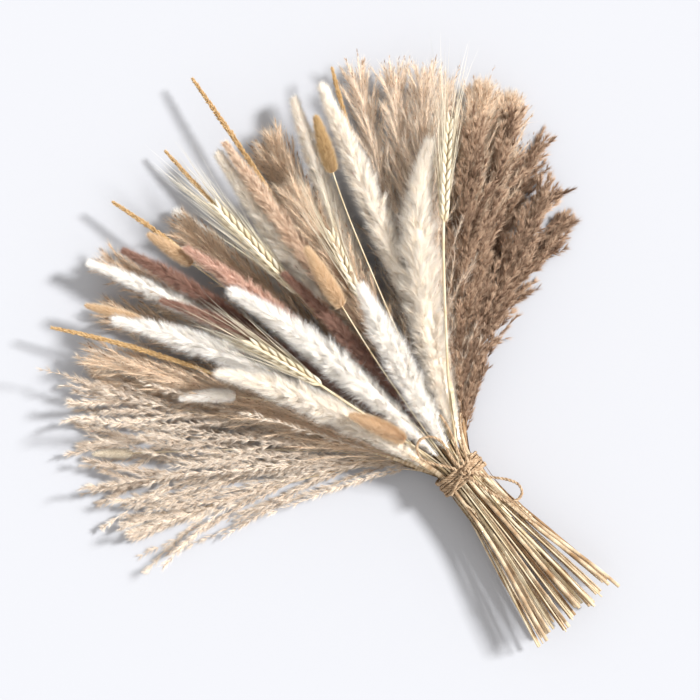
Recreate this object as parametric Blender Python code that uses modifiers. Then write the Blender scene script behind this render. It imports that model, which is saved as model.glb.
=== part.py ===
"""A tied bunch of dried grasses and flowers, lying on a surface with its heads fanned out.

Every plant is one solid from its cut end to the tip of its head. The plants pass through the
twine in LAYERS, side by side, and spread upwards and sideways from there. +Y points from the
tie to the heads, +Z up, and the origin is at the bottom centre of the bunch's box.
"""

import math
from collections import namedtuple

import bmesh
import bpy
from mathutils import Vector

MM = 0.001

# The tie.
TIE_HEIGHT = 18.2 * MM
SLOT_PITCH = 3.55 * MM
LAYER_PITCH = 3.5 * MM
STRAIGHT_HALF = 8 * MM
WRAP_INNER_RADIUS = 15.5 * MM
WRAP_OUTER_RADIUS = 17.7 * MM
WRAP_LENGTH = 13 * MM
TWINE_DIAMETER = 1.9 * MM
KNOT_SIZE = Vector((8.6, 7.4, 4.8)) * MM
KNOT_CENTRE = Vector((3.6, 0.2, 38.6)) * MM

# The cut stems below the tie.
CUT_LENGTH = 118 * MM
CUT_LENGTH_SPREAD = 9 * MM
STEM_FAN = 2.6
CUT_HEIGHT_LOWEST = 0.9 * MM
CUT_HEIGHT_STEP = 5.3 * MM
CUT_SHIFT = 2.4 * MM

# The fan of heads above the tie.
FULL_HEIGHT_AT = 184 * MM
FULL_HEIGHT_SOONER = 8 * MM
LAYER_HEIGHTS = [h * MM for h in (3, 12.5, 22, 31, 40, 49.5, 60.5, 73)]
MOST_BEND_AT_TIE = 26
START_HANDLE = 0.2
END_HANDLE = 0.38
STEM_POINTS = 5

# One kind of plant: stem and head radii in mm, how the head's width runs from base to tip,
# the number of rings along the head, sides of the solid, colour and roughness.
Kind = namedtuple("Kind", "stem head fullest tip rings sides colour roughness")
KINDS = {
    "pampas": Kind(1.3, 8.4, 0.42, 0.20, 8, 8, (0.84, 0.79, 0.72), 0.85),
    "bunny_tail": Kind(0.7, 6.0, 0.40, 0.45, 6, 8, (0.78, 0.60, 0.42), 0.9),
    "foxtail": Kind(0.7, 1.4, 0.45, 0.45, 5, 6, (0.66, 0.40, 0.16), 0.8),
    "mauve_plume": Kind(0.9, 4.2, 0.45, 0.25, 7, 8, (0.46, 0.27, 0.24), 0.85),
    "wheat": Kind(1.1, 3.8, 0.45, 0.40, 5, 8, (0.84, 0.76, 0.55), 0.7),
    "fine_reed": Kind(0.8, 3.2, 0.50, 0.25, 6, 6, (0.60, 0.50, 0.40), 0.8),
    "silver_grass": Kind(1.0, 5.2, 0.45, 0.30, 7, 8, (0.50, 0.44, 0.37), 0.7),
    "brown_reed": Kind(1.1, 7.2, 0.50, 0.30, 7, 8, (0.24, 0.15, 0.10), 0.85),
}

# One plant: bearing of its tip from the bunch's axis in degrees, distance of the tip from the
# tie in mm, how far the head curls past that bearing in degrees, length of the head in mm, how
# far the tip hangs below its layer in mm, and its width as a share of its kind's.
Plant = namedtuple("Plant", "name kind bearing reach curl head drop width")
LAYERS = [
    [
        Plant("silver_grass_4", "silver_grass", -60, 226, -6, 150, 0, 1.0),
        Plant("silver_grass_2", "silver_grass", -45, 256, -6, 165, 0, 1.0),
        Plant("brown_reed_3", "brown_reed", 53, 234, 13, 150, 0, 0.9),
        Plant("brown_reed_5", "brown_reed", 62.5, 188, 20, 120, 0, 0.9),
    ],
    [
        Plant("silver_grass_3", "silver_grass", -53, 244, -7, 155, 6, 1.0),
        Plant("bunny_tail_5", "bunny_tail", -47.5, 252, -5, 24, 2, 0.5),
        Plant("fine_reed_mid_2", "fine_reed", -36, 258, -6, 125, 4, 1.0),
        Plant("fine_reed_left_2", "fine_reed", -26, 268, -8, 110, 4, 1.0),
        Plant("pampas_10", "pampas", -8, 266, -8, 120, 5, 0.6),
        Plant("fine_reed_back_3", "fine_reed", 8, 258, 3, 110, 4, 1.0),
        Plant("fine_reed_right_2", "fine_reed", 47, 256, 6, 135, 6, 1.0),
    ],
    [
        Plant("silver_grass_1", "silver_grass", -39, 264, -6, 165, 6, 1.0),
        Plant("fine_reed_left_1", "fine_reed", -20, 285, -6, 125, 6, 1.0),
        Plant("fine_reed_back_1", "fine_reed", -9, 256, -3, 95, 6, 1.0),
        Plant("foxtail_2", "foxtail", -3, 298, 0, 52, 8, 1.0),
        Plant("fine_reed_back_2", "fine_reed", 10, 264, 4, 110, 6, 1.0),
        Plant("fine_reed_top_1", "fine_reed", 25, 286, 4, 140, 8, 1.0),
        Plant("fine_reed_top_4", "fine_reed", 37, 271, 6, 140, 8, 1.0),
        Plant("brown_reed_4", "brown_reed", 57.5, 206, 16, 130, 8, 0.85),
    ],
    [
        Plant("fine_reed_mid_1", "fine_reed", -33, 266, -6, 130, 10, 1.0),
        Plant("pampas_8", "pampas", -21, 292, -9, 100, 7, 0.55),
        Plant("foxtail_3", "foxtail", -12.5, 300, -5, 44, 10, 1.0),
        Plant("foxtail_1", "foxtail", 5.3, 325, -1, 84, 12, 1.15),
        Plant("pampas_7", "pampas", 15.5, 280, 7, 110, 10, 0.65),
        Plant("fine_reed_top_2", "fine_reed", 30, 280, 4, 140, 10, 1.0),
        Plant("fine_reed_right_1", "fine_reed", 42.5, 262, 6, 135, 14, 1.0),
        Plant("brown_reed_2", "brown_reed", 48, 250, 9, 160, 8, 0.9),
    ],
    [
        Plant("foxtail_4", "foxtail", -30.8, 295, -9, 102, 14, 1.15),
        Plant("bunny_tail_6", "bunny_tail", -26.3, 280, -10, 37, 12, 0.62),
        Plant("mauve_plume_2", "mauve_plume", -17, 276, -6, 62, 12, 0.65),
        Plant("bunny_tail_4", "bunny_tail", -13, 268, -4, 32, 12, 0.85),
        Plant("pampas_9", "pampas", 2.3, 274, 3, 150, 10, 0.66),
        Plant("foxtail_5", "foxtail", 21.8, 289, 3, 45, 14, 1.0),
        Plant("fine_reed_top_3", "fine_reed", 34, 278, 5, 140, 14, 1.0),
        Plant("brown_reed_1", "brown_reed", 42.5, 243, 8, 155, 5, 0.8),
    ],
    [
        Plant("bunny_tail_7", "bunny_tail", -35.5, 198, -26, 34, 18, 0.8),
        Plant("pampas_4", "pampas", -26.6, 258, -13, 100, 14, 0.75),
        Plant("mauve_plume_5", "mauve_plume", -20.4, 235, -13, 132, 10, 0.95),
        Plant("mauve_plume_3", "mauve_plume", -11.2, 242, -7, 84, 12, 1.05),
        Plant("wheat_1", "wheat", -3, 249, -1, 74, 12, 1.05),
        Plant("mauve_plume_1", "mauve_plume", 4, 276, 1, 112, 14, 1.05),
        Plant("fine_reed_back_4", "fine_reed", 9, 224, 3, 70, 12, 1.0),
        Plant("pampas_6", "pampas", 19.7, 280, -3, 125, 14, 0.75),
    ],
    [
        Plant("pampas_5", "pampas", -27.7, 179, -13, 116, 4, 0.9),
        Plant("wheat_4", "wheat", -18.6, 170, -4, 50, 6, 1.0),
        Plant("pampas_3", "pampas", -11.9, 200, -9, 140, 5, 0.95),
        Plant("mauve_plume_4", "mauve_plume", -2, 182, -5, 104, 10, 0.9),
        Plant("wheat_2", "wheat", 11, 186, 7, 42, 8, 1.0),
        Plant("bunny_tail_3", "bunny_tail", 17.3, 261, 7, 35, 12, 0.95),
        Plant("pampas_1", "pampas", 34, 226, 21, 158, 10, 1.08),
    ],
    [
        Plant("bunny_tail_2", "bunny_tail", -22, 86, -10, 36, -8, 1.05),
        Plant("bunny_tail_1", "bunny_tail", 5, 185, 4, 40, 12, 1.08),
        Plant("pampas_2", "pampas", 11, 145, 3, 98, 4, 0.95),
        Plant("wheat_3", "wheat", 37.4, 241, 8, 62, 22, 0.95),
    ],
]

# The bow's route from the knot, in mm from the tie's middle in X and Y and from the surface in Z.
TWINE_ROUTES = {
    "twine_loop_left": [
        (2.4, 5.0, 38.8), (2.0, 14, 40.0), (3.6, 25, 42.4), (0.6, 33, 44.4), (-6.5, 36.5, 45.2),
        (-12.5, 33, 44.8), (-14.2, 25.5, 42.6), (-9.6, 17.5, 40.4), (-2.4, 8.4, 39.4),
        (-0.8, 4.6, 38.8),
    ],
    "twine_loop_right": [
        (7.4, -4.2, 38.4), (13.5, -12.5, 38.6), (21.5, -21.5, 38.8), (25.2, -28.5, 38.8),
        (23.8, -34.6, 39.0), (18.2, -36.4, 39.2), (12.2, -32.6, 39.4), (7.6, -22.0, 39.2),
        (4.4, -11, 38.8), (3.2, -4.4, 38.4),
    ],
    "twine_tail_1": [
        (5.6, 4.9, 38.8), (7.2, 12, 39.8), (10.6, 22, 42.0), (13.2, 32, 44.8), (14.2, 41, 47.2),
    ],
    "twine_tail_2": [
        (8.6, 3.9, 38.6), (11.2, 11, 39.4), (16.0, 20, 41.4), (21.5, 28.5, 43.8),
        (25.5, 33.5, 45.6),
    ],
}


def clear_scene():
    for obj in list(bpy.data.objects):
        bpy.data.objects.remove(obj)


def material(name, colour, roughness):
    made = bpy.data.materials.new(name)
    made.use_nodes = True
    shader = made.node_tree.nodes["Principled BSDF"]
    shader.inputs["Base Color"].default_value = (*colour, 1)
    shader.inputs["Roughness"].default_value = roughness
    shader.inputs["Metallic"].default_value = 0
    return made


def smooth(t):
    t = min(max(t, 0), 1)
    return t * t * (3 - 2 * t)


def bezier(a, b, c, d, t):
    s = 1 - t
    return a * s**3 + b * 3 * s * s * t + c * 3 * s * t * t + d * t**3


def wobble(index):
    """A number from -1 to 1 that differs from plant to plant, spread evenly by the golden ratio."""
    return 2 * math.modf(index * 0.6180339887)[0] - 1


def heading(degrees):
    turn = math.radians(degrees)
    return Vector((math.sin(turn), math.cos(turn)))


def head_radius(kind, width, t):
    """The solid's radius at t, from 0 at the head's base to 1 at its tip."""
    stem = kind.stem * MM
    fullest = kind.head * width * MM
    if t < kind.fullest:
        return stem + (fullest - stem) * math.sin(math.pi / 2 * t / kind.fullest) ** 0.9
    past = (t - kind.fullest) / (1 - kind.fullest)
    end = max(fullest * kind.tip, 0.5 * MM)
    return end + (fullest - end) * math.cos(math.pi / 2 * past) ** 0.8


def plant_path(plant, slot_x, layer, index):
    """Points and radii from the cut end, through the tie, to the tip of the head."""
    kind = KINDS[plant.kind]
    stem = kind.stem * MM
    slot_z = TIE_HEIGHT + (layer - (len(LAYERS) - 1) / 2) * LAYER_PITCH
    length = CUT_LENGTH + CUT_LENGTH_SPREAD * (1 + wobble(index)) / 2
    cut_x = slot_x * STEM_FAN + CUT_SHIFT * wobble(3 * index)
    cut_z = CUT_HEIGHT_LOWEST + CUT_HEIGHT_STEP * layer
    path = []
    for share in (1, 0.55):
        away = share * (length - STRAIGHT_HALF)
        x = slot_x + (cut_x - slot_x) * share
        z = slot_z + (cut_z - slot_z) * share
        path.append((Vector((x, -STRAIGHT_HALF - away, z)), stem))
    path.append((Vector((slot_x, -STRAIGHT_HALF, slot_z)), stem))

    start = Vector((slot_x, STRAIGHT_HALF))
    tip = heading(plant.bearing) * plant.reach * MM
    first = min(max(plant.bearing - plant.curl, -MOST_BEND_AT_TIE), MOST_BEND_AT_TIE)
    run = (tip - start).length
    handle_a = start + heading(first) * START_HANDLE * run
    handle_b = tip - heading(plant.bearing + plant.curl) * END_HANDLE * run
    head_share = plant.head * MM / run
    shares = [(1 - head_share) * k / STEM_POINTS for k in range(STEM_POINTS)]
    heads = [k / (kind.rings - 1) for k in range(kind.rings)]
    for share in shares:
        path.append((along_fan(plant, layer, slot_z, start, handle_a, handle_b, tip, share), stem))
    for t in heads:
        share = 1 - head_share * (1 - t)
        point = along_fan(plant, layer, slot_z, start, handle_a, handle_b, tip, share)
        path.append((point, head_radius(kind, plant.width, t)))
    return path


def along_fan(plant, layer, slot_z, start, handle_a, handle_b, tip, share):
    flat = bezier(start, handle_a, handle_b, tip, share)
    rise = smooth((flat.length - STRAIGHT_HALF) / (FULL_HEIGHT_AT - layer * FULL_HEIGHT_SOONER))
    z = slot_z + (LAYER_HEIGHTS[layer] - slot_z) * rise - plant.drop * MM * share**3
    return Vector((flat.x, flat.y, z))


def tube(name, path, sides, shade, collection, parent):
    """A round tube through (point, radius) pairs, with flat caps."""
    curve = bpy.data.curves.new(name, "CURVE")
    curve.dimensions = "3D"
    curve.bevel_depth = 1
    curve.bevel_resolution = (sides - 4) // 2
    curve.use_fill_caps = True
    spline = curve.splines.new("POLY")
    spline.points.add(len(path) - 1)
    for spot, (point, radius) in zip(spline.points, path):
        spot.co = (*point, 1)
        spot.radius = radius
    spline.use_smooth = True
    curve.materials.append(shade)
    obj = bpy.data.objects.new(name, curve)
    collection.objects.link(obj)
    obj.parent = parent
    return obj


def settle(obj):
    """The same solid as a mesh, pressed flat where it lies on the surface."""
    graph = bpy.context.evaluated_depsgraph_get()
    mesh = bpy.data.meshes.new_from_object(obj.evaluated_get(graph))
    work = bmesh.new()
    work.from_mesh(mesh)
    bmesh.ops.remove_doubles(work, verts=work.verts, dist=1e-6)
    for vertex in work.verts:
        vertex.co.z = max(vertex.co.z, 0)
    work.to_mesh(mesh)
    work.free()
    made = bpy.data.objects.new("settled", mesh)
    for collection in obj.users_collection:
        collection.objects.link(made)
    made.parent = obj.parent
    name = obj.name
    bpy.data.objects.remove(obj)
    made.name = name
    return made


def plants(collection, parent):
    shades = {name: material(name, kind.colour, kind.roughness) for name, kind in KINDS.items()}
    index = 0
    for layer, row in enumerate(LAYERS):
        for place, plant in enumerate(row):
            slot_x = (place - (len(row) - 1) / 2) * SLOT_PITCH
            path = plant_path(plant, slot_x, layer, index)
            kind = KINDS[plant.kind]
            obj = tube(plant.name, path, kind.sides, shades[plant.kind], collection, parent)
            if min(point.z - radius for point, radius in path) < 0:
                settle(obj)
            index += 1


def rounded(points, steps):
    """Points on a smooth curve through the route's points (Catmull-Rom)."""
    ends = [2 * points[0] - points[1], *points, 2 * points[-1] - points[-2]]
    found = []
    for a, b, c, d in zip(ends, ends[1:], ends[2:], ends[3:]):
        for k in range(steps):
            t = k / steps
            found.append(
                0.5 * (2 * b + (c - a) * t + (2 * a - 5 * b + 4 * c - d) * t**2
                       + (3 * b - a - 3 * c + d) * t**3)
            )
    return [*found, points[-1]]


def twine_wrap(shade, collection, parent):
    """The wound turns as one turned ring round the stems."""
    mesh = bpy.data.meshes.new("twine_wrap")
    edge = (WRAP_OUTER_RADIUS - WRAP_INNER_RADIUS) / 3
    half = WRAP_LENGTH / 2
    profile = [
        (WRAP_INNER_RADIUS, half - edge),
        (WRAP_INNER_RADIUS + edge, half),
        (WRAP_OUTER_RADIUS - edge, half),
        (WRAP_OUTER_RADIUS, half - edge),
        (WRAP_OUTER_RADIUS, edge - half),
        (WRAP_OUTER_RADIUS - edge, -half),
        (WRAP_INNER_RADIUS + edge, -half),
        (WRAP_INNER_RADIUS, edge - half),
    ]
    count = len(profile)
    mesh.from_pydata(
        [(radius, 0, z) for radius, z in profile],
        [(k, (k + 1) % count) for k in range(count)],
        [],
    )
    mesh.materials.append(shade)
    obj = bpy.data.objects.new("twine_wrap", mesh)
    collection.objects.link(obj)
    obj.parent = parent
    obj.location = (0, 0, TIE_HEIGHT)
    obj.rotation_euler = (math.radians(-90), 0, 0)
    turned = obj.modifiers.new("turned", "SCREW")
    turned.axis = "Z"
    turned.steps = 40
    turned.render_steps = 40
    turned.use_merge_vertices = True
    turned.merge_threshold = 1e-5
    return obj


def twine_knot(shade, collection, parent):
    """A squat lump, a little pinched between the two loops."""
    mesh = bpy.data.meshes.new("twine_knot")
    work = bmesh.new()
    bmesh.ops.create_uvsphere(work, u_segments=16, v_segments=10, radius=0.5)
    for vertex in work.verts:
        vertex.co.x *= 1 - 0.22 * math.cos(2 * math.pi * vertex.co.y)
    bmesh.ops.scale(work, vec=KNOT_SIZE, verts=work.verts)
    work.to_mesh(mesh)
    work.free()
    mesh.materials.append(shade)
    mesh.shade_smooth()
    obj = bpy.data.objects.new("twine_knot", mesh)
    collection.objects.link(obj)
    obj.parent = parent
    obj.location = KNOT_CENTRE
    return obj


def twine(collection, parent):
    shade = material("jute", (0.47, 0.34, 0.22), 0.95)
    twine_wrap(shade, collection, parent)
    twine_knot(shade, collection, parent)
    for name, route in TWINE_ROUTES.items():
        points = [Vector(point) * MM for point in route]
        path = [(point, TWINE_DIAMETER / 2) for point in rounded(points, 3)]
        tube(name, path, 8, shade, collection, parent)


def lowest_and_highest(objects):
    graph = bpy.context.evaluated_depsgraph_get()
    corners = []
    for obj in objects:
        seen = obj.evaluated_get(graph)
        mesh = seen.to_mesh()
        corners += [seen.matrix_world @ vertex.co for vertex in mesh.vertices]
        seen.to_mesh_clear()
    low = Vector([min(corner[k] for corner in corners) for k in range(3)])
    high = Vector([max(corner[k] for corner in corners) for k in range(3)])
    return low, high


def main():
    clear_scene()
    collection = bpy.data.collections.new("bundle_of_pampas_grass")
    bpy.context.scene.collection.children.link(collection)
    base = bpy.data.objects.new("bunch", None)
    collection.objects.link(base)
    plants(collection, base)
    twine(collection, base)
    bpy.context.view_layer.update()
    low, high = lowest_and_highest([obj for obj in collection.objects if obj.type != "EMPTY"])
    base.location = (-(low.x + high.x) / 2, -(low.y + high.y) / 2, -low.z)
    bpy.context.view_layer.update()


main()
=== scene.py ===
"""The looks of a tied bunch of dried grasses: every plume, ear, hair, seed, stem and strand of twine."""

import math

import bpy
import numpy as np
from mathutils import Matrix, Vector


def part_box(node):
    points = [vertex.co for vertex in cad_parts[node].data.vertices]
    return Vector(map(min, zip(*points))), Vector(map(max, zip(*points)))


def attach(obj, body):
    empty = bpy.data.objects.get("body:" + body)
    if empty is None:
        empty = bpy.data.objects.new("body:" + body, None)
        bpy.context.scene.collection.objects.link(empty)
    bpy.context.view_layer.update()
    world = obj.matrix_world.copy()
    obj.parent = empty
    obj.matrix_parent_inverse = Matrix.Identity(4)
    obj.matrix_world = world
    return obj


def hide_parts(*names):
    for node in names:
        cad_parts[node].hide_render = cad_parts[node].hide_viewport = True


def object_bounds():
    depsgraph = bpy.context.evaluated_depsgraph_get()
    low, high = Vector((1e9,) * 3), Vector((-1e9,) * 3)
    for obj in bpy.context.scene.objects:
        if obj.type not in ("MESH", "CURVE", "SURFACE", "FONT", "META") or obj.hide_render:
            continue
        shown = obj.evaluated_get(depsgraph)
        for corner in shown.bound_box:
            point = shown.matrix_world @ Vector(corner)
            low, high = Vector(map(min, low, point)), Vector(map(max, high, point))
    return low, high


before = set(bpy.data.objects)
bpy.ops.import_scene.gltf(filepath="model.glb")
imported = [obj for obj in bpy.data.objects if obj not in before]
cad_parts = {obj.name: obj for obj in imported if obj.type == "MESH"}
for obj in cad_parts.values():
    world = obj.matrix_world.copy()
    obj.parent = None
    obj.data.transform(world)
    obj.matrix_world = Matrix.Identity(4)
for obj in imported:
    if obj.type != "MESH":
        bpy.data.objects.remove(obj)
CAD_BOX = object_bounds()
TIE = np.mean(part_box("twine_wrap"), axis=0)

MM = 0.001
STEM_ZONE = 0.2
GOLDEN = 2.399963
LEAST_HEIGHT = 0.2 * MM
NEAR_FLOOR = 1.5 * MM
# How far from the middle a strand may reach, and how near that a strand starts to bend back.
REACH = np.array(CAD_BOX[1][:2]) * 1.06 + 9 * MM
NEAR_EDGE = 8 * MM


# ---------------------------------------------------------------- the frame's measures

def unit(v):
    v = np.asarray(v, float)
    return v / np.maximum(np.linalg.norm(v, axis=-1, keepdims=True), 1e-12)


def rings_of(node):
    """Centres and radii of a plant's rings, from the cut end to the tip, read from its solid.

    From the tip each ring is one step further along the mesh. Straight stretches of stem have lost
    some of their points, so there the rings are the groups of points that share a height in Y.
    """
    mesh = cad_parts[node].data
    points = np.array([v.co for v in mesh.vertices], float)
    spots, index = np.unique(np.round(points, 6), axis=0, return_inverse=True)
    index = index.reshape(-1)
    links = [set() for _ in spots]
    for polygon in mesh.polygons:
        corners = [int(index[v]) for v in polygon.vertices]
        for a in corners:
            links[a].update(corners)
    cut = spots[np.linalg.norm(spots - spots[spots[:, 1].argmin()], axis=1) < 4 * MM]
    sides, stalk = len(cut), spread_of(cut)
    away = np.linalg.norm(spots[:, :2] - TIE[:2], axis=1) * (spots[:, 1] > TIE[1])
    near = np.linalg.norm(spots - spots[away.argmax()], axis=1)
    ring = set(np.argsort(near)[:sides].tolist())
    seen, rings = set(), []
    while ring and spots[sorted(ring), 1].min() > TIE[1] + 4 * MM:
        found = spots[sorted(ring)]
        if len(found) > 2 * sides:
            break
        if len(found) == sides and not uneven(found):
            rings.append(found)
        seen |= ring
        ring = {b for a in ring for b in links[a]} - seen
    rings = rings[::-1]
    below = spots[spots[:, 1] < rings[0][:, 1].min() - 3 * MM]
    below = below[np.argsort(below[:, 1])]
    groups = np.split(below, np.flatnonzero(np.diff(below[:, 1]) > 3 * MM) + 1)
    rings = [g for g in groups if len(g) == sides] + rings
    return np.array([r.mean(0) for r in rings]), np.array([spread_of(r) for r in rings])


def uneven(ring):
    """Whether these points are two rings' points mixed: a plant's underside, pressed flat, loses some."""
    away = np.linalg.norm(ring - ring.mean(0), axis=1)
    return away.max() > 2.2 * np.median(away)


def spread_of(ring):
    return float(np.linalg.norm(ring - ring.mean(0), axis=1).mean())


class Spine:
    """A smooth line through a plant's rings. At takes distances from its start in metres."""

    def __init__(self, centres, radii):
        self.points, self.radii = centres, radii
        steps = np.linalg.norm(np.diff(centres, axis=0), axis=1)
        self.along = np.concatenate([[0], np.cumsum(steps)])
        slopes = np.gradient(centres, self.along, axis=0)
        self.slopes = slopes
        self.length = self.along[-1]
        self.stalk = float(radii[0])
        self.bare = 0.0
        above = int(np.argmax(centres[:, 1] > TIE[1]))
        share = (TIE[1] - centres[above - 1, 1]) / (centres[above, 1] - centres[above - 1, 1])
        self.tie = self.along[above - 1] + share * (self.along[above] - self.along[above - 1])
        k = int(radii.argmax())
        while radii[k] > self.stalk * 1.25:
            k -= 1
        self.head = self.along[k]

    def foot(self, lower):
        """Where growth starts: this much below the head, but clear of the tie."""
        return min(max(self.head - lower, self.tie + 20 * MM), self.head)

    def at(self, s):
        s = np.clip(np.asarray(s, float), 0, self.length)
        k = np.clip(np.searchsorted(self.along, s) - 1, 0, len(self.along) - 2)
        h = (self.along[k + 1] - self.along[k])[:, None]
        t = (s[:, None] - self.along[k][:, None]) / h
        a, b = self.points[k], self.points[k + 1]
        m, n = self.slopes[k] * h, self.slopes[k + 1] * h
        return (2 * t**3 - 3 * t**2 + 1) * a + (t**3 - 2 * t**2 + t) * m + (
            3 * t**2 - 2 * t**3) * b + (t**3 - t**2) * n

    def direction(self, s):
        s = np.asarray(s, float)
        return unit(self.at(s + 0.5 * MM) - self.at(s - 0.5 * MM))


# ---------------------------------------------------------------- mesh building

class Shape:
    """Collects ribbons and tubes, then makes them one mesh with its colours' coordinates."""

    def __init__(self):
        self.points, self.coords, self.faces, self.count = [], [], [], 0

    def add(self, points, coords, faces):
        self.points.append(points.reshape(-1, 3))
        self.coords.append(coords.reshape(-1, 2))
        self.faces += [f + self.count for f in faces if len(f)]
        self.count += len(self.points[-1])

    def ribbons(self, root, way, length, bend, width, tone, side, profile=(1, 0.8, 0), start=0.0):
        """Thin strips from each root, length long, bowed by bend. The last width is a point."""
        count, rows = len(root), len(profile)
        t = np.linspace(0, 1, rows)[None, :, None]
        length = np.broadcast_to(length, count)[:, None, None]
        middle = root[:, None] + way[:, None] * length * t + bend[:, None] * length * t**2
        across = unit(np.cross(way, side))[:, None]
        half = np.broadcast_to(width, count)[:, None, None] / 2
        wide = across * half * np.asarray(profile)[None, :, None]
        points = np.concatenate([middle[:, :-1] - wide[:, :-1], middle[:, :-1] + wide[:, :-1],
                                 middle[:, -1:]], axis=1)
        u = np.concatenate([t[0, :-1, 0], t[0, :-1, 0], [1]]) * (1 - start) + start
        coords = np.stack(np.broadcast_arrays(u[None], np.asarray(tone)[:, None]), axis=-1)
        per = 2 * rows - 1
        base = np.arange(count)[:, None] * per
        quads = [base + np.array([[k, k + rows - 1, k + rows, k + 1]]) for k in range(rows - 2)]
        tips = base + np.array([[rows - 2, 2 * rows - 3, 2 * rows - 2]])
        self.add(points, coords, [*quads, tips])

    def strip(self, line, half, tone, u):
        """A blade along a line, with its half width as a vector at each point."""
        points = np.stack([line - half, line + half], axis=1)
        coords = np.stack(np.broadcast_arrays(u[:, None], np.full((1, 2), tone)), axis=-1)
        k = np.arange(len(line) - 1)[:, None] * 2
        self.add(points, coords, [k + np.array([[0, 1, 3, 2]])])

    def tube(self, line, radii, sides, tone, u=None):
        """A closed tube round a line of points."""
        ways = unit(np.gradient(line, axis=0))
        level = unit(np.cross(ways, [0.13, 0.21, 0.97]))
        other = np.cross(ways, level)
        turn = np.arange(sides) * 2 * math.pi / sides
        ring = np.cos(turn)[None, :, None] * level[:, None] + np.sin(turn)[None, :, None] * other[:, None]
        points = line[:, None] + ring * np.asarray(radii)[:, None, None]
        u = np.linspace(0, 1, len(line)) if u is None else u
        coords = np.stack(np.broadcast_arrays(u[:, None], np.full((1, sides), tone)), axis=-1)
        k = np.arange(len(line) - 1)[:, None] * sides
        j = np.arange(sides)[None]
        n = (j + 1) % sides
        quads = np.stack([k + j, k + n, k + n + sides, k + j + sides], axis=-1).reshape(-1, 4)
        points = points.reshape(-1, 3)
        coords = coords.reshape(-1, 2)
        last = len(points)
        points = np.concatenate([points, line[:1], line[-1:]])
        coords = np.concatenate([coords, [[u[0], tone], [u[-1], tone]]])
        j = j[0]
        n = n[0]
        low = np.stack([np.full(sides, last), n, j], axis=-1)
        high = np.stack([np.full(sides, last + 1), last - sides + j, last - sides + n], axis=-1)
        self.add(points, coords, [quads, low, high])

    def piece(self, name, shade, smooth=True):
        points = np.concatenate(self.points).astype(np.float32)
        coords = np.concatenate(self.coords).astype(np.float32)
        low = points[:, 2] < NEAR_FLOOR
        points[low, 2] = LEAST_HEIGHT + (NEAR_FLOOR - LEAST_HEIGHT) * np.exp(
            (points[low, 2] - NEAR_FLOOR) / (6 * MM))
        for axis in range(2):
            far = np.abs(points[:, axis]) - (REACH[axis] - NEAR_EDGE)
            out = far > 0
            kept = REACH[axis] - NEAR_EDGE * np.exp(-far[out] / NEAR_EDGE)
            points[out, axis] = np.sign(points[out, axis]) * kept
        sizes = np.concatenate([np.full(len(f), f.shape[1], np.int32) for f in self.faces])
        corners = np.concatenate([f.reshape(-1) for f in self.faces]).astype(np.int32)
        mesh = bpy.data.meshes.new(name)
        mesh.vertices.add(len(points))
        mesh.vertices.foreach_set("co", points.reshape(-1))
        mesh.loops.add(len(corners))
        mesh.loops.foreach_set("vertex_index", corners)
        mesh.polygons.add(len(sizes))
        mesh.polygons.foreach_set("loop_start", (np.cumsum(sizes) - sizes).astype(np.int32))
        layer = mesh.uv_layers.new(name="OFBake")
        layer.data.foreach_set("uv", coords[corners].reshape(-1))
        mesh.update(calc_edges=True)
        if smooth:
            mesh.shade_smooth()
        mesh.materials.append(shade)
        obj = bpy.data.objects.new(name, mesh)
        bpy.context.scene.collection.objects.link(obj)
        return obj


# ---------------------------------------------------------------- materials

def srgb(*levels):
    """A colour's linear values from its 8-bit display values."""
    c = np.array(levels) / 255
    return (*np.where(c <= 0.04045, c / 12.92, ((c + 0.055) / 1.055) ** 2.4).tolist(), 1)


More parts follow.
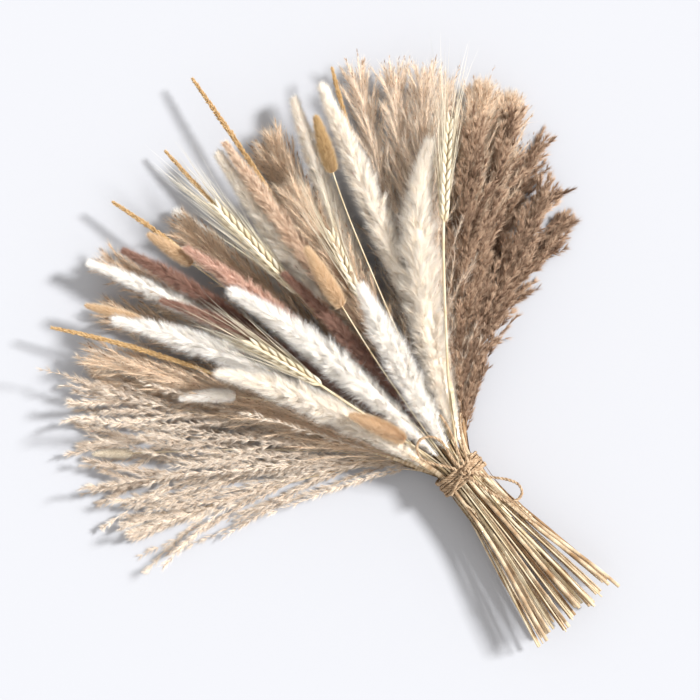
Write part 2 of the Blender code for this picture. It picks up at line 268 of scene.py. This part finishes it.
def plant_material(name, stem, dark, light, roughness=0.75, sheen=0.0, glow=0.0):
    """Colour along each strand from root to tip, between a dark and a light tone, and the stem's own."""
    made = bpy.data.materials.new(name)
    made.use_nodes = True
    nodes, links = made.node_tree.nodes, made.node_tree.links
    shader = nodes["Principled BSDF"]
    shader.inputs["Roughness"].default_value = roughness
    shader.inputs["Specular IOR Level"].default_value = 0.2
    shader.inputs["Sheen Weight"].default_value = sheen
    shader.subsurface_method = "BURLEY"
    shader.inputs["Subsurface Weight"].default_value = glow
    shader.inputs["Subsurface Radius"].default_value = (1, 0.9, 0.8)
    shader.inputs["Subsurface Scale"].default_value = 2.5 * MM
    where = nodes.new("ShaderNodeUVMap")
    where.uv_map = "OFBake"
    parts = nodes.new("ShaderNodeSeparateXYZ")
    links.new(where.outputs[0], parts.inputs[0])

    def ramp(colours, source):
        node = nodes.new("ShaderNodeValToRGB")
        while len(node.color_ramp.elements) < len(colours):
            node.color_ramp.elements.new(0.5)
        for k, (place, colour) in enumerate(colours):
            node.color_ramp.elements[k].position = place
            node.color_ramp.elements[k].color = colour
        links.new(source, node.inputs[0])
        return node.outputs[0]

    def mix(factor, a, b):
        node = nodes.new("ShaderNodeMix")
        node.data_type = "RGBA"
        links.new(factor, node.inputs[0])
        links.new(a, node.inputs[6])
        links.new(b, node.inputs[7])
        return node.outputs[2]

    tone = nodes.new("ShaderNodeMapRange")
    tone.inputs["From Min"].default_value = STEM_ZONE + 0.05
    tone.inputs["From Max"].default_value = 1
    links.new(parts.outputs[1], tone.inputs[0])
    hair = mix(tone.outputs[0], ramp(dark, parts.outputs[0]), ramp(light, parts.outputs[0]))
    streaks = nodes.new("ShaderNodeTexNoise")
    streaks.inputs["Scale"].default_value = 24
    streaks.inputs["Detail"].default_value = 4
    links.new(where.outputs[0], streaks.inputs["Vector"])
    stalk = ramp([(0.3, stem[0]), (0.7, stem[1])], streaks.outputs[0])
    is_head = nodes.new("ShaderNodeMath")
    is_head.operation = "GREATER_THAN"
    is_head.inputs[1].default_value = STEM_ZONE
    links.new(parts.outputs[1], is_head.inputs[0])
    links.new(mix(is_head.outputs[0], stalk, hair), shader.inputs["Base Color"])
    return made


STRAW = (srgb(140, 108, 74), srgb(218, 200, 170))
PALE = (srgb(184, 160, 120), srgb(218, 206, 180))
BROWN_STEM = (srgb(110, 82, 56), srgb(166, 134, 98))


def two(root, tip):
    return [(0.0, srgb(*root)), (0.85, srgb(*tip))]


SHADES = {
    "pampas_white": plant_material("pampas_white", STRAW, two((232, 222, 208), (248, 246, 242)),
                                   two((246, 242, 234), (255, 254, 252)), 0.8, 0.3, 0.35),
    "pampas_cream": plant_material("pampas_cream", STRAW, two((226, 212, 192), (246, 239, 228)),
                                   two((242, 232, 218), (254, 250, 243)), 0.8, 0.3, 0.35),
    "bunny_tail": plant_material("bunny_tail", PALE, two((184, 143, 99), (214, 179, 136)),
                                 two((216, 182, 140), (232, 210, 179)), 0.8, 0.3),
    "bunny_pale": plant_material("bunny_pale", PALE, two((196, 179, 150), (213, 200, 177)),
                                 two((213, 202, 180), (223, 217, 205)), 0.8, 0.3, 0.3),
    "bunny_olive": plant_material("bunny_olive", PALE, two((153, 118, 72), (188, 153, 103)),
                                  two((190, 155, 107), (217, 190, 144)), 0.8, 0.3),
    "foxtail": plant_material("foxtail", PALE, two((177, 137, 86), (201, 164, 111)),
                              two((201, 165, 115), (220, 196, 154)), 0.7),
    "mauve": plant_material("mauve", BROWN_STEM, two((150, 88, 68), (196, 146, 124)),
                            two((222, 178, 156), (248, 222, 202)), 0.8, 0.2),
    "mauve_dark": plant_material("mauve_dark", BROWN_STEM, two((96, 50, 35), (123, 77, 61)),
                                 two((151, 107, 86), (193, 160, 142)), 0.8, 0.2),
    "mauve_brown": plant_material("mauve_brown", BROWN_STEM, two((178, 142, 116), (212, 178, 150)),
                                  two((226, 198, 170), (250, 234, 212)), 0.8, 0.2),
    "wheat": plant_material("wheat", PALE, two((185, 166, 128), (205, 193, 167)),
                            two((209, 198, 175), (220, 214, 200)), 0.55),
    "fine_reed": plant_material("fine_reed", STRAW, two((118, 82, 56), (148, 112, 82)),
                                two((240, 210, 176), (252, 236, 214)), 0.75, 0, 0.3),
    # A copy of fine_reed with lighter tones for the top heads, which lie in the light: painted light.
    "fine_reed_painted_lit": plant_material("fine_reed_painted_lit", STRAW, two((140, 104, 74), (170, 134, 104)),
                                      two((255, 232, 204), (255, 248, 236)), 0.75, 0, 0.4),
    "silver_grass": plant_material("silver_grass", STRAW, two((136, 110, 86), (170, 146, 122)),
                                   two((226, 206, 182), (255, 246, 234)), 0.6, 0.2, 0.25),
    "brown_reed": plant_material("brown_reed", BROWN_STEM, two((76, 50, 34), (105, 74, 53)),
                                 two((177, 140, 111), (234, 204, 175)), 0.75, 0.1),
    "jute": plant_material("jute", STRAW, two((131, 104, 79), (164, 135, 106)),
                           two((169, 142, 113), (193, 169, 140)), 0.9),
}


# ---------------------------------------------------------------- plants

UP = np.array([0, 0, 1.0])


def around(ways, angle):
    """A direction across each way, turned about it by angle."""
    level = unit(np.cross(ways, [0.13, 0.21, 0.97]))
    return level * np.cos(angle)[:, None] + np.cross(ways, level) * np.sin(angle)[:, None]


def lean(ways, out, angle):
    return ways * np.cos(angle)[:, None] + out * np.sin(angle)[:, None]


def tones(rng, count, low=0.0, high=1.0):
    first = STEM_ZONE + 0.07
    return first + (0.98 - first) * rng.uniform(low, high, count)


def stem(shape, spine, rng, thickness):
    """The stalk from its cut end up into the head, with joints where leaves grew."""
    s = np.arange(0, spine.head + 8 * MM, 4 * MM)
    line = spine.at(s)
    line += 0.25 * MM * np.sin(s[:, None] / (17 * MM) + rng.uniform(0, 6, 3)[None])
    radii = np.full(len(s), spine.stalk) * thickness
    joint = rng.uniform(20 * MM, 90 * MM)
    radii = radii * (1 + 0.35 * np.exp(-((s - joint) / (2.4 * MM)) ** 2))
    tone = rng.uniform(0.02, STEM_ZONE - 0.03)
    shape.tube(line, radii, 7, tone, u=s / 0.3)


def hairs(shape, rng, root, way, length, spread, width, droop, low=0.0, high=1.0,
          profile=(1, 0.8, 0), facing=None):
    """One strand at each root, close to way."""
    count = len(root)
    turn = rng.uniform(0, 2 * math.pi, count)
    off = np.abs(rng.normal(0, spread, count))
    go = lean(way, around(way, turn), off)
    bend = np.array([0, 0, -1.0])[None] * droop + rng.normal(0, 0.06, (count, 3))
    long = length * rng.uniform(0.6, 1.1, count)
    side = rng.normal(0, 1, (count, 3))
    if facing is not None:
        side = facing + 0.45 * side
    shape.ribbons(root, go, long, bend, width, tones(rng, count, low, high), side, profile)


def leaves(shape, spine, rng, count):
    """Dry sheaths along the stalk near the tie, which curl away from it at their tips."""
    for start in rng.uniform(spine.tie - 80 * MM, spine.tie + 25 * MM, count):
        t = np.linspace(0, 1, 9)
        s = start + rng.uniform(22, 58) * MM * t
        way = spine.direction(s)
        out = around(way, rng.uniform(0, 2 * math.pi) + t * rng.normal(0, 1.2))
        away = spine.stalk + 0.3 * MM + rng.uniform(0, 6) * MM * t**2.5
        half = rng.uniform(0.6, 1.7) * MM * np.sin(math.pi * (0.12 + 0.86 * t)) ** 0.7
        shape.strip(spine.at(s) + out * away[:, None], np.cross(way, out) * half[:, None],
                    rng.uniform(0.02, STEM_ZONE - 0.03), t)


def core(shape, spine, start, thick, foot=0.8, power=0.6):
    """The dense middle of a head, which its hairs hide."""
    t = np.linspace(0, 1, 24)
    radii = thick * np.sin(math.pi * np.clip(t, 0.02, 0.97) ** foot) ** power
    shape.tube(spine.at(start + (spine.length - start) * t), np.maximum(radii, 0.5 * MM), 8,
               STEM_ZONE + 0.5, u=np.full(24, 0.2))


def tufted(shape, spine, rng, lower, tufts, reach, angle, strands, hair, spread, width, inner=0.35,
           swell=0.42, droop=0.1, low=0.0, foot_tone=1.0):
    """A plume of tufts that lean towards its tip, each a bundle of strands."""
    start = spine.foot(lower)
    long = spine.length - start - 0.5 * hair
    t = (np.arange(tufts) + rng.uniform(0, 1, tufts)) / tufts
    s = start + long * t
    ways = spine.direction(s)
    full = np.clip(np.minimum(t / swell, 1), 0, 1) ** 0.6 * np.clip((1.08 - t) / 0.5, 0.25, 1) ** 0.5
    out = around(ways, np.arange(tufts) * GOLDEN + rng.normal(0, 0.35, tufts))
    tilt = angle * rng.uniform(0.7, 1.25, tufts) * np.clip((1.06 - t) / 0.35, 0.25, 1) ** 0.5
    way = lean(ways, out, tilt)
    size = reach * full * rng.uniform(0.75, 1.2, tufts)
    root = spine.at(s - 0.25 * size)
    each = np.repeat(np.arange(tufts), strands)
    along = rng.uniform(0, 0.55, len(each)) * size[each]
    high = foot_tone + (1 - foot_tone) * np.clip(t[each] * 1.7, 0, 1)
    hairs(shape, rng, root[each] + way[each] * along[:, None], way[each], hair * full[each] ** 0.5,
          spread, width, droop, low, high, (1, 0), out[each])
    core(shape, spine, start, inner * reach * math.sin(angle))


def branches(shape, spine, rng, start, count, length, angle, droop, width=0.28 * MM, taper=0.55,
             beyond=5 * MM, flat=1.0):
    """Side branches of an open head, from start to its tip: their roots, ways, lengths and bends."""
    long = spine.length - start
    t = (np.arange(count) + rng.uniform(0, 1, count)) / count
    s = start + long * t * 0.92
    ways = spine.direction(s)
    out = around(ways, np.arange(count) * GOLDEN + rng.normal(0, 0.4, count))
    way = lean(ways, out, angle * rng.uniform(0.35, 1.3, count))
    way = unit(way * [1, 1, flat])
    size = length * (1 - taper * t) * rng.uniform(0.7, 1.15, count)
    size = np.minimum(size, spine.length - s + beyond * rng.uniform(0.3, 1, count))
    bend = np.array([0, 0, -1.0])[None] * droop + rng.normal(0, 0.09, (count, 3)) + ways * 0.1
    root = spine.at(s)
    shape.ribbons(root, way, size, bend, width, tones(rng, count, 0.3, 0.8),
                  UP + 0.4 * rng.normal(0, 1, (count, 3)), (1, 0.9, 0.7, 0.4, 0))
    return root, way, size, bend


def on_branches(rng, branch, per, begin, end=1.0):
    """Points spread along the branches, with their directions and which branch each is on."""
    root, way, size, bend = branch
    each = np.repeat(np.arange(len(root)), per)
    t = rng.uniform(begin, end, len(each))
    spot = root[each] + (way[each] * t[:, None] + bend[each] * t[:, None] ** 2) * size[each][:, None]
    return spot, unit(way[each] + 2 * bend[each] * t[:, None]), each


def seeds(shape, rng, spot, way, length, width, angle, low, high, crossed=True):
    """Small husks, each one leaf-shaped blade or two crossed ones."""
    count = len(spot)
    go = lean(way, around(way, rng.uniform(0, 2 * math.pi, count)), angle * rng.uniform(0.4, 1.4, count))
    side = rng.normal(0, 1, (count, 3))
    tone = tones(rng, count, low, high)
    long = length * rng.uniform(0.7, 1.15, count)
    bend = rng.normal(0, 0.05, (count, 3))
    for facing in [side, unit(np.cross(go, side))][:1 + crossed]:
        shape.ribbons(spot, go, long, bend, width, tone, facing, (0.35, 1, 0.75, 0))


def spikelets(shape, rng, branch, per, begin, angle, husk, husk_width, strands, hair, spread, width,
              low):
    """Husks that lean off their branches, each with its own brush of hairs. Branches differ in tone."""
    spot, way, branch_of = on_branches(rng, branch, per, begin)
    count = len(spot)
    go = lean(way, around(way, rng.uniform(0, 2 * math.pi, count)), angle * rng.uniform(0.6, 1.3, count))
    seeds(shape, rng, spot, go, husk, husk_width, 0.1, 0.0, 0.5, False)
    each = np.repeat(np.arange(count), strands)
    shade = rng.uniform(low, 0.85, len(branch[0]))[branch_of[each]]
    hairs(shape, rng, spot[each], go[each], hair, spread, width, 0, shade - 0.1, shade + 0.15, (1, 0), UP)


def rachis(shape, spine, radius):
    s = np.linspace(spine.head, spine.length, 30)
    shape.tube(spine.at(s), np.linspace(radius, radius * 0.3, 30), 5, STEM_ZONE * 0.5)


def pampas(shape, spine, rng, width):
    tufts = int(2300 * (spine.length - spine.foot(50 * MM)))
    tufted(shape, spine, rng, 50 * MM, tufts, 19 * MM * width, 0.62, 170, 12 * MM * width**0.5,
           0.36, 0.22 * MM, inner=0.45, droop=0.05)


def bunny(shape, spine, rng, width):
    count = 9000
    t = rng.uniform(0, 1, count)
    s = spine.head + (spine.length - spine.head - 3.5 * MM) * t
    ways = spine.direction(s)
    out = around(ways, rng.uniform(0, 2 * math.pi, count))
    thick = 5.6 * MM * width
    full = 0.5 * thick * np.sin(math.pi * np.clip(t, 0.02, 0.98) ** 0.8) ** 0.6
    hairs(shape, rng, spine.at(s) + out * full[:, None], lean(ways, out, 1.05 - 0.75 * t),
          5.4 * MM * width**0.5, 0.3, 0.2 * MM, 0, 0, 1, (1, 0), out)
    core(shape, spine, spine.head, 0.62 * thick)


def mauve(shape, spine, rng, width):
    tufts = int(2600 * (spine.length - spine.foot(35 * MM)))
    tufted(shape, spine, rng, 35 * MM, tufts, 12.5 * MM * width, 0.62, 100, 8 * MM, 0.36, 0.2 * MM,
           inner=0.4, droop=0.02, foot_tone=0.2)


def foxtail(shape, spine, rng, width):
    long = spine.length - spine.head
    count = int(long / (0.16 * MM))
    t = np.arange(count) / count
    s = spine.head + long * t
    ways = spine.direction(s)
    out = around(ways, np.arange(count) * GOLDEN)
    full = np.sin(math.pi * np.clip(t, 0.03, 0.985) ** 0.9) ** 0.4 * width
    root = spine.at(s) + out * (0.55 * MM * full)[:, None]
    seeds(shape, rng, root, lean(ways, out, np.full(count, 0.5)),
          (1.2 + 1.4 * full) * MM, 1.0 * MM, 0.25, 0.1, 0.9)
    hairs(shape, rng, root, lean(ways, out, np.full(count, 0.6)), 3.2 * MM, 0.2, 0.12 * MM, 0, 0.4)
    rachis(shape, spine, 0.8 * MM)


def wheat(shape, spine, rng, width):
    long = spine.length - spine.head
    count = max(int(long / (1.25 * MM)), 20)
    k = np.arange(count)
    t = k / count
    s = spine.head + long * 0.93 * t
    ways = spine.direction(s)
    flat = around(ways, np.full(count, 0.4))
    over = np.cross(ways, flat)
    row = (k % 3 - 1)[:, None]
    side = np.where(k % 2 == 0, 1.0, -1.0)[:, None]
    out = unit(flat * side + over * row * 0.9)
    full = np.clip(np.minimum(t / 0.15 + 0.5, (1.05 - t) / 0.25), 0.3, 1) * width
    root = spine.at(s) + out * (1.1 * MM * full)[:, None]
    way = lean(ways, out, np.full(count, 0.3))
    for a, b in zip(root, way):
        line = a[None] + b[None] * np.linspace(0, 9.5 * MM * width, 6)[:, None]
        radii = np.array([0.4, 1.25, 1.5, 1.3, 0.8, 0.15]) * MM * width
        shape.tube(line, radii, 6, float(tones(rng, 1)[0]))
    tips = root + way * 9 * MM
    for repeat in range(2):
        bend = rng.normal(0, 0.05, (count, 3)) + ways * 0.06
        shape.ribbons(tips, unit(way * 0.55 + ways * 0.6 + rng.normal(0, 0.035, (count, 3))),
                      (48 + 16 * rng.uniform(-1, 1, count)) * MM, bend, 0.42 * MM,
                      tones(rng, count, 0.3), rng.normal(0, 1, (count, 3)), (1, 0.8, 0.55, 0.3, 0))
    rachis(shape, spine, 1.0 * MM)


def fine_reed(shape, spine, rng, width):
    start = spine.foot(80 * MM) if not spine.bare else spine.head + spine.bare
    branch = branches(shape, spine, rng, start, int(220 * width), 62 * MM, 0.4 * width, 0.02, 0.26 * MM,
                      flat=0.75)
    spot, way, _ = on_branches(rng, branch, 11, 0.3)
    seeds(shape, rng, spot, way, 2.8 * MM, 0.62 * MM, 0.4, 0.0, 0.3, False)
    spot, way, _ = on_branches(rng, branch, 115, 0.0, 0.85)
    hairs(shape, rng, spot, way, 10 * MM, 0.4, 0.2 * MM, 0, 0.6, 1, (1, 0), UP)
    rachis(shape, spine, 0.7 * MM)


def silver_grass(shape, spine, rng, width):
    branch = branches(shape, spine, rng, spine.foot(60 * MM), 36, 125 * MM, 0.42, 0.0, 0.5 * MM, 0.5,
                      6 * MM, 0.5)
    spikelets(shape, rng, branch, 105, 0.03, 0.52, 3.6 * MM, 0.5 * MM, 13, 6.5 * MM, 0.13, 0.17 * MM, 0.45)
    rachis(shape, spine, 0.9 * MM)


def brown_reed(shape, spine, rng, width):
    branch = branches(shape, spine, rng, spine.foot(40 * MM), 130, 46 * MM, 0.44, 0.02, 0.35 * MM, 0.5,
                      4 * MM)
    spikelets(shape, rng, branch, 26, 0.05, 0.42, 5 * MM, 0.9 * MM, 13, 7 * MM, 0.22, 0.22 * MM, 0.1)
    rachis(shape, spine, 1.0 * MM)


# What each kind of plant is made with, its usual colour, and the fullest radius its width is
# measured against, in mm.
MAKERS = {
    "pampas": (pampas, "pampas_white", 8.4),
    "bunny_tail": (bunny, "bunny_tail", 6.0),
    "foxtail": (foxtail, "foxtail", 1.4),
    "mauve_plume": (mauve, "mauve", 4.2),
    "wheat": (wheat, "wheat", 3.8),
    "fine_reed": (fine_reed, "fine_reed", 3.2),
    "silver_grass": (silver_grass, "silver_grass", 5.2),
    "brown_reed": (brown_reed, "brown_reed", 7.2),
}
OWN_COLOURS = {
    "pampas_1": "pampas_cream", "pampas_5": "pampas_cream", "pampas_6": "pampas_cream",
    "pampas_7": "pampas_cream", "pampas_9": "pampas_cream", "bunny_tail_3": "bunny_olive",
    "bunny_tail_5": "bunny_pale", "bunny_tail_7": "pampas_white", "mauve_plume_1": "mauve_brown",
    "mauve_plume_2": "mauve_dark", "mauve_plume_4": "mauve_dark", "mauve_plume_5": "mauve_dark",
    # The top fine reeds take the lighter copy of fine_reed: painted light, for heads that lie in the
    # light.
    **{f"fine_reed_top_{k}": "fine_reed_painted_lit" for k in range(1, 5)},
}
# How much wider than its solid a plume's hairs make it look, against others of its kind.
FULLER = {
    "pampas_1": 1.25, "pampas_6": 1.15, "pampas_7": 1.15, "pampas_9": 1.2, "mauve_plume_1": 1.2,
    **{f"fine_reed_top_{k}": 1.2 for k in range(1, 5)},
}
THIN_STALKS = {"bunny_tail": 0.7, "wheat": 0.85}


# How far up its head a plant bears nothing.
BARE_BELOW = {"fine_reed_right_1": 30 * MM, "fine_reed_right_2": 40 * MM}


def plants():
    for number, node in enumerate(sorted(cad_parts)):
        kind = next((k for k in MAKERS if node.startswith(k)), None)
        if kind is None:
            continue
        make, shade, fullest = MAKERS[kind]
        rng = np.random.default_rng(100 + number)
        spine = Spine(*rings_of(node))
        spine.bare = BARE_BELOW.get(node, 0.0)
        shape = Shape()
        stem(shape, spine, rng, THIN_STALKS.get(kind, 1))
        leaves(shape, spine, rng, rng.integers(2, 5))
        make(shape, spine, rng, FULLER.get(node, 1) * spine.radii.max() / (fullest * MM))
        piece = shape.piece(f"look_{node}", SHADES[OWN_COLOURS.get(node, shade)])
        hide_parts(node)
        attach(piece, "root")


# ---------------------------------------------------------------- twine

TWINE = 1.9 * MM
TWINE_ROUTES = {
    "twine_loop_left": [
        (2.4, 5.0, 38.8), (2.0, 14, 40.0), (3.6, 25, 42.4), (0.6, 33, 44.4), (-6.5, 36.5, 45.2),
        (-12.5, 33, 44.8), (-14.2, 25.5, 42.6), (-9.6, 17.5, 40.4), (-2.4, 8.4, 39.4),
        (-0.8, 4.6, 38.8),
    ],
    "twine_loop_right": [
        (7.4, -4.2, 38.4), (13.5, -12.5, 38.6), (21.5, -21.5, 38.8), (25.2, -28.5, 38.8),
        (23.8, -34.6, 39.0), (18.2, -36.4, 39.2), (12.2, -32.6, 39.4), (7.6, -22.0, 39.2),
        (4.4, -11, 38.8), (3.2, -4.4, 38.4),
    ],
    "twine_tail_1": [
        (5.6, 4.9, 38.8), (7.2, 12, 39.8), (10.6, 22, 42.0), (13.2, 32, 44.8), (14.2, 41, 47.2),
    ],
    "twine_tail_2": [
        (8.6, 3.9, 38.6), (11.2, 11, 39.4), (16.0, 20, 41.4), (21.5, 28.5, 43.8),
        (25.5, 33.5, 45.6),
    ],
}


def smooth_line(points, step):
    """Points about step apart on a Catmull-Rom curve."""
    p = np.concatenate([[2 * points[0] - points[1]], points, [2 * points[-1] - points[-2]]])
    found = []
    for a, b, c, d in zip(p, p[1:], p[2:], p[3:]):
        for t in np.arange(0, 1, step / max(np.linalg.norm(c - b), step)):
            found.append(0.5 * (2 * b + (c - a) * t + (2 * a - 5 * b + 4 * c - d) * t**2
                                + (3 * b - a - 3 * c + d) * t**3))
    return np.array([*found, points[-1]])


def plied(shape, line, rng, thick=TWINE):
    """Two-ply twisted twine along a line, with loose fibres."""
    along = np.concatenate([[0], np.cumsum(np.linalg.norm(np.diff(line, axis=0), axis=1))])
    ways = unit(np.gradient(line, axis=0))
    level = unit(np.cross(ways, [0.13, 0.21, 0.97]))
    other = np.cross(ways, level)
    for ply in range(2):
        turn = along / (5.4 * MM) * 2 * math.pi + ply * math.pi
        off = level * np.cos(turn)[:, None] + other * np.sin(turn)[:, None]
        uneven = 1 + 0.12 * np.sin(along / (3.1 * MM) + ply) + rng.normal(0, 0.04, len(line))
        shape.tube(line + off * thick * 0.26, thick * 0.3 * uneven, 7,
                   STEM_ZONE + 0.35 + 0.3 * ply, u=0.5 + 0.5 * np.sin(along / (1.3 * MM)))
    count = int(along[-1] / (0.35 * MM))
    k = rng.integers(0, len(line), count)
    out = around(ways[k], rng.uniform(0, 2 * math.pi, count))
    go = unit(ways[k] * rng.choice([-1, 1], count)[:, None] + out * 0.4)
    shape.ribbons(line[k] + out * thick * 0.42, go, rng.uniform(1.0, 2.6, count) * MM,
                  rng.normal(0, 0.12, (count, 3)), 0.1 * MM, tones(rng, count, 0.3),
                  rng.normal(0, 1, (count, 3)))


def twine(tie):
    """The wound turns, the knot, and the bow's loops and tails."""
    rng = np.random.default_rng(7)
    low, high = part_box("twine_wrap")
    outer = (high[2] - low[2]) / 2
    half = (high[1] - low[1]) / 2 - TWINE / 2
    middle = (low[2] + high[2]) / 2
    turns = 6.6
    turn = np.arange(0, turns * 2 * math.pi, 0.04)
    share = turn / turn[-1]
    radius = outer - TWINE * 0.5 + 0.35 * MM * np.sin(turn * 0.37)
    y = tie[1] - half + 2 * half * share + 0.5 * MM * np.sin(turn * 1.7)
    wound = np.stack([tie[0] + radius * np.cos(turn), y, middle + radius * np.sin(turn)], axis=-1)
    shape = Shape()
    plied(shape, wound, rng)
    crossing = np.linspace(-0.9, 0.9, 60)
    over = np.stack([tie[0] + (outer + 0.9 * MM) * np.sin(crossing),
                     tie[1] + 1.3 * half * crossing,
                     middle + (outer + 0.9 * MM) * np.cos(crossing)], axis=-1)
    plied(shape, over, rng)
    piece = shape.piece("look_twine_wrap", SHADES["jute"])
    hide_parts("twine_wrap")
    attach(piece, "root")

    low, high = (np.array(c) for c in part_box("twine_knot"))
    t = np.linspace(0, 2 * math.pi, 150)
    path = np.stack([np.sin(t) + 2 * np.sin(2 * t), np.cos(t) - 2 * np.cos(2 * t),
                     -1.2 * np.sin(3 * t)], axis=-1)
    path = path / np.abs(path).max(0) * ((high - low) / 2 - TWINE * 0.45)
    shape = Shape()
    plied(shape, (low + high) / 2 + path, rng)
    knot = shape.piece("look_twine_knot", SHADES["jute"])
    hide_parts("twine_knot")
    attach(knot, "root")

    for name, route in TWINE_ROUTES.items():
        points = np.array(route) * MM + np.array([tie[0], tie[1], 0])
        line = smooth_line(points, 0.6 * MM)
        shape = Shape()
        plied(shape, line, rng)
        piece = shape.piece(f"look_{name}", SHADES["jute"])
        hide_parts(name)
        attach(piece, "root")


# ---------------------------------------------------------------- studio

VIEW_TURN = math.radians(-39.5)
VIEW_WIDTH = 0.476
VIEW_HEIGHT = 2.2
AIM_RIGHT = -0.0755
AIM_UP = 0.0843
SENSOR_MM = 36


def studio(tie):
    right = np.array([math.cos(VIEW_TURN), math.sin(VIEW_TURN)])
    up = np.array([-math.sin(VIEW_TURN), math.cos(VIEW_TURN)])
    aim = tie[:2] + right * AIM_RIGHT + up * AIM_UP
    camera = bpy.data.objects.new("camera", bpy.data.cameras.new("camera"))
    camera.location = (*aim, VIEW_HEIGHT)
    camera.rotation_euler = (0, 0, VIEW_TURN)
    camera.data.sensor_width = SENSOR_MM
    camera.data.lens = SENSOR_MM * (VIEW_HEIGHT - tie[2]) / VIEW_WIDTH
    camera.data.clip_end = 20
    bpy.context.scene.collection.objects.link(camera)
    bpy.context.scene.camera = camera

    mesh = bpy.data.meshes.new("floor")
    mesh.from_pydata([(-6, -6, 0), (6, -6, 0), (6, 6, 0), (-6, 6, 0)], [], [(0, 1, 2, 3)])
    floor = bpy.data.objects.new("floor", mesh)
    shade = bpy.data.materials.new("floor")
    shade.use_nodes = True
    shader = shade.node_tree.nodes["Principled BSDF"]
    shader.inputs["Base Color"].default_value = (0.461, 0.468, 0.494, 1)
    shader.inputs["Roughness"].default_value = 0.9
    shader.inputs["Specular IOR Level"].default_value = 0.1
    mesh.materials.append(shade)
    bpy.context.scene.collection.objects.link(floor)

    lamp = bpy.data.lights.new("key", "SUN")
    lamp.energy = 5.6
    lamp.angle = math.radians(10)
    key = bpy.data.objects.new("key", lamp)
    across = right * 0.94 + up * 0.35
    rise = math.tan(math.radians(41))
    toward = unit(np.array([*across, rise * np.linalg.norm(across)]))
    key.rotation_euler = bpy_vector(toward).to_track_quat("Z", "Y").to_euler()
    bpy.context.scene.collection.objects.link(key)

    world = bpy.data.worlds.new("studio")
    world.use_nodes = True
    back = world.node_tree.nodes["Background"]
    back.inputs["Color"].default_value = (1, 0.985, 0.97, 1)
    back.inputs["Strength"].default_value = 0.85
    bpy.context.scene.world = world
    bpy.context.scene.view_settings.view_transform = "Standard"


def bpy_vector(values):
    from mathutils import Vector
    return Vector([float(v) for v in values])


studio(TIE)
twine(TIE)
plants()
